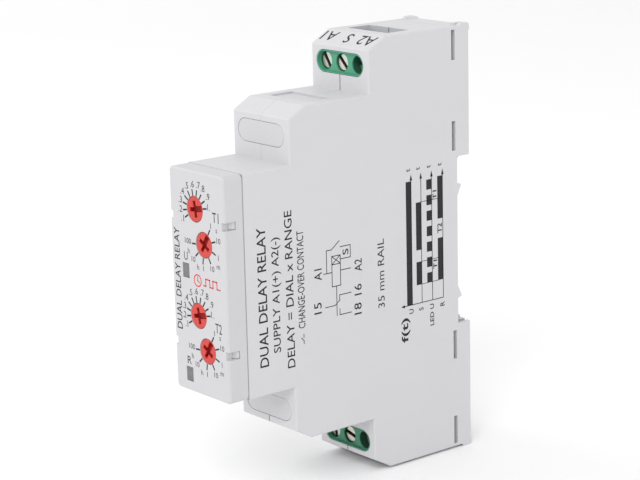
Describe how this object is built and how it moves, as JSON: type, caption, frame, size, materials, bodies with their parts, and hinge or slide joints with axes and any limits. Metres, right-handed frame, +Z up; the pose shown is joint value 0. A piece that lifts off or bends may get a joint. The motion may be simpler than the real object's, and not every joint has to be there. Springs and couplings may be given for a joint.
{
  "type": "din rail timer",
  "caption": "Narrow rail-mounted dual time relay: stepped light-grey case, red adjuster dials, green screw terminals at both ends, clip-on rail recess at the back.",
  "frame": {"origin": "middle of the rail seat, on the plane where the front of the rail flanges rests", "axes": "+Y into the rail (the dials face -Y), +Z up with the case upright, +X to the right seen from the front"},
  "size_m": [0.0176, 0.064, 0.091],
  "materials": {
    "housing": "fine matt, light grey",
    "cap": "fine matt, light grey",
    "insert": "fine matt, light grey",
    "catch": "fine matt, light grey",
    "knob_red": "satin red",
    "terminal_green": "satin green",
    "screw_nickel": "nickel plated",
    "cage_steel": "zinc plated",
    "brass": "tinned brass",
    "window_grey": "smoked",
    "trimmer_plastic": "blue",
    "circuit_board": "solder mask green",
    "black_plastic": "moulded black",
    "pin_tin": "tinned",
    "led_body": "clear",
    "film_yellow": "boxed film, yellow",
    "can_sleeve": "shrink sleeve",
    "varistor_blue": "epoxy blue",
    "relay_black": "moulded black",
    "relay_cover": "dark blue",
    "copper": "enamelled copper",
    "relay_iron": "soft iron"
  },
  "bodies": {
    "housing": {"bar_bottom_1": "brass", "bar_bottom_2": "brass", "bar_bottom_3": "brass", "bar_top_1": "brass", "bar_top_2": "brass", "bar_top_3": "brass", "blank_insert_bottom": "insert", "blank_insert_top": "insert", "controller_chip": "black_plastic", "electrolytic_large": "can_sleeve", "electrolytic_small": "can_sleeve", "film_capacitor": "film_yellow", "front_board": "circuit_board", "front_cap": "cap", "header_body": "black_plastic", "header_pins": "pin_tin", "housing_left": "housing", "housing_right": "housing", "led_r": "led_body", "led_u": "led_body", "main_board": "circuit_board", "power_resistor": "black_plastic", "rectifier": "black_plastic", "relay_base": "relay_black", "relay_bobbin": "relay_black", "relay_contact_nc": "brass", "relay_contact_no": "brass", "relay_core": "relay_iron", "relay_cover": "relay_cover", "relay_winding": "copper", "relay_yoke": "relay_iron", "terminal_block_bottom": "terminal_green", "terminal_block_top": "terminal_green", "trimmer_t1_fine": "trimmer_plastic", "trimmer_t1_range": "trimmer_plastic", "trimmer_t2_fine": "trimmer_plastic", "trimmer_t2_range": "trimmer_plastic", "varistor": "varistor_blue", "window_r": "window_grey", "window_u": "window_grey"},
    "cage_bottom_1": {"cage_bottom_1": "cage_steel"},
    "cage_bottom_2": {"cage_bottom_2": "cage_steel"},
    "cage_bottom_3": {"cage_bottom_3": "cage_steel"},
    "cage_top_1": {"cage_top_1": "cage_steel"},
    "cage_top_2": {"cage_top_2": "cage_steel"},
    "cage_top_3": {"cage_top_3": "cage_steel"},
    "catch_bottom": {"catch_bottom": "catch"},
    "catch_top": {"catch_top": "catch"},
    "knob_t1_fine": {"knob_t1_fine": "knob_red"},
    "knob_t1_range": {"knob_t1_range": "knob_red"},
    "knob_t2_fine": {"knob_t2_fine": "knob_red"},
    "knob_t2_range": {"knob_t2_range": "knob_red"},
    "screw_bottom_1": {"screw_bottom_1": "screw_nickel"},
    "screw_bottom_2": {"screw_bottom_2": "screw_nickel"},
    "screw_bottom_3": {"screw_bottom_3": "screw_nickel"},
    "screw_top_1": {"screw_top_1": "screw_nickel"},
    "screw_top_2": {"screw_top_2": "screw_nickel"},
    "screw_top_3": {"screw_top_3": "screw_nickel"},
    "relay_armature_body": {"relay_armature": "relay_iron", "relay_moving_contact": "brass"}
  },
  "joints": [
    {"name": "knob_t1_fine_turn", "type": "hinge", "parent": "housing", "child": "knob_t1_fine", "pos_m": [-0.00065, -0.0604, 0.01495], "axis": [0, -1, 0], "range_deg": [0, 202.5]},
    {"name": "knob_t1_range_turn", "type": "hinge", "parent": "housing", "child": "knob_t1_range", "pos_m": [0.00195, -0.0604, 0.00825], "axis": [0, -1, 0], "range_deg": [-234, 0]},
    {"name": "knob_t2_fine_turn", "type": "hinge", "parent": "housing", "child": "knob_t2_fine", "pos_m": [-0.00065, -0.0604, -0.0064], "axis": [0, -1, 0], "range_deg": [0, 202.5]},
    {"name": "knob_t2_range_turn", "type": "hinge", "parent": "housing", "child": "knob_t2_range", "pos_m": [0.00195, -0.0604, -0.0131], "axis": [0, -1, 0], "range_deg": [-234, 0]},
    {"name": "screw_top_1_turn", "type": "hinge", "parent": "housing", "child": "screw_top_1", "pos_m": [-0.005, -0.0227, 0.0393], "axis": [0, 1, 0], "range_deg": [0, 1296]},
    {"name": "cage_top_1_lift", "type": "slide", "parent": "housing", "child": "cage_top_1", "axis": [0, -1, 0], "range_m": [0, 0.0018]},
    {"name": "screw_top_2_turn", "type": "hinge", "parent": "housing", "child": "screw_top_2", "pos_m": [0, -0.0227, 0.0393], "axis": [0, 1, 0], "range_deg": [0, 1296]},
    {"name": "cage_top_2_lift", "type": "slide", "parent": "housing", "child": "cage_top_2", "axis": [0, -1, 0], "range_m": [0, 0.0018]},
    {"name": "screw_top_3_turn", "type": "hinge", "parent": "housing", "child": "screw_top_3", "pos_m": [0.005, -0.02145, 0.0393], "axis": [0, 1, 0], "range_deg": [0, 1296]},
    {"name": "cage_top_3_lift", "type": "slide", "parent": "housing", "child": "cage_top_3", "axis": [0, -1, 0], "range_m": [0, 0.0018]},
    {"name": "screw_bottom_1_turn", "type": "hinge", "parent": "housing", "child": "screw_bottom_1", "pos_m": [-0.005, -0.0227, -0.0393], "axis": [0, 1, 0], "range_deg": [0, 1296]},
    {"name": "cage_bottom_1_lift", "type": "slide", "parent": "housing", "child": "cage_bottom_1", "axis": [0, -1, 0], "range_m": [0, 0.0018]},
    {"name": "screw_bottom_2_turn", "type": "hinge", "parent": "housing", "child": "screw_bottom_2", "pos_m": [0, -0.0227, -0.0393], "axis": [0, 1, 0], "range_deg": [0, 1296]},
    {"name": "cage_bottom_2_lift", "type": "slide", "parent": "housing", "child": "cage_bottom_2", "axis": [0, -1, 0], "range_m": [0, 0.0018]},
    {"name": "screw_bottom_3_turn", "type": "hinge", "parent": "housing", "child": "screw_bottom_3", "pos_m": [0.005, -0.02145, -0.0393], "axis": [0, 1, 0], "range_deg": [0, 1296]},
    {"name": "cage_bottom_3_lift", "type": "slide", "parent": "housing", "child": "cage_bottom_3", "axis": [0, -1, 0], "range_m": [0, 0.0018]},
    {"name": "catch_top_slide", "type": "slide", "parent": "housing", "child": "catch_top", "axis": [0, 0, 1], "range_m": [0, 0.0044]},
    {"name": "catch_bottom_slide", "type": "slide", "parent": "housing", "child": "catch_bottom", "axis": [0, 0, -1], "range_m": [0, 0.0044]},
    {"name": "relay_armature_tilt", "type": "hinge", "parent": "housing", "child": "relay_armature_body", "pos_m": [0.0045, -0.0095, 0.0039], "axis": [0, -1, 0], "range_deg": [0, 4], "stiffness_Nm_per_rad": 0.002, "springref_deg": -11.46}
  ],
  "couplings": [
    {"joint": "screw_top_1_turn", "follows": "cage_top_1_lift", "rad_per_m": 12566},
    {"joint": "screw_top_2_turn", "follows": "cage_top_2_lift", "rad_per_m": 12566},
    {"joint": "screw_top_3_turn", "follows": "cage_top_3_lift", "rad_per_m": 12566},
    {"joint": "screw_bottom_1_turn", "follows": "cage_bottom_1_lift", "rad_per_m": 12566},
    {"joint": "screw_bottom_2_turn", "follows": "cage_bottom_2_lift", "rad_per_m": 12566},
    {"joint": "screw_bottom_3_turn", "follows": "cage_bottom_3_lift", "rad_per_m": 12566}
  ]
}
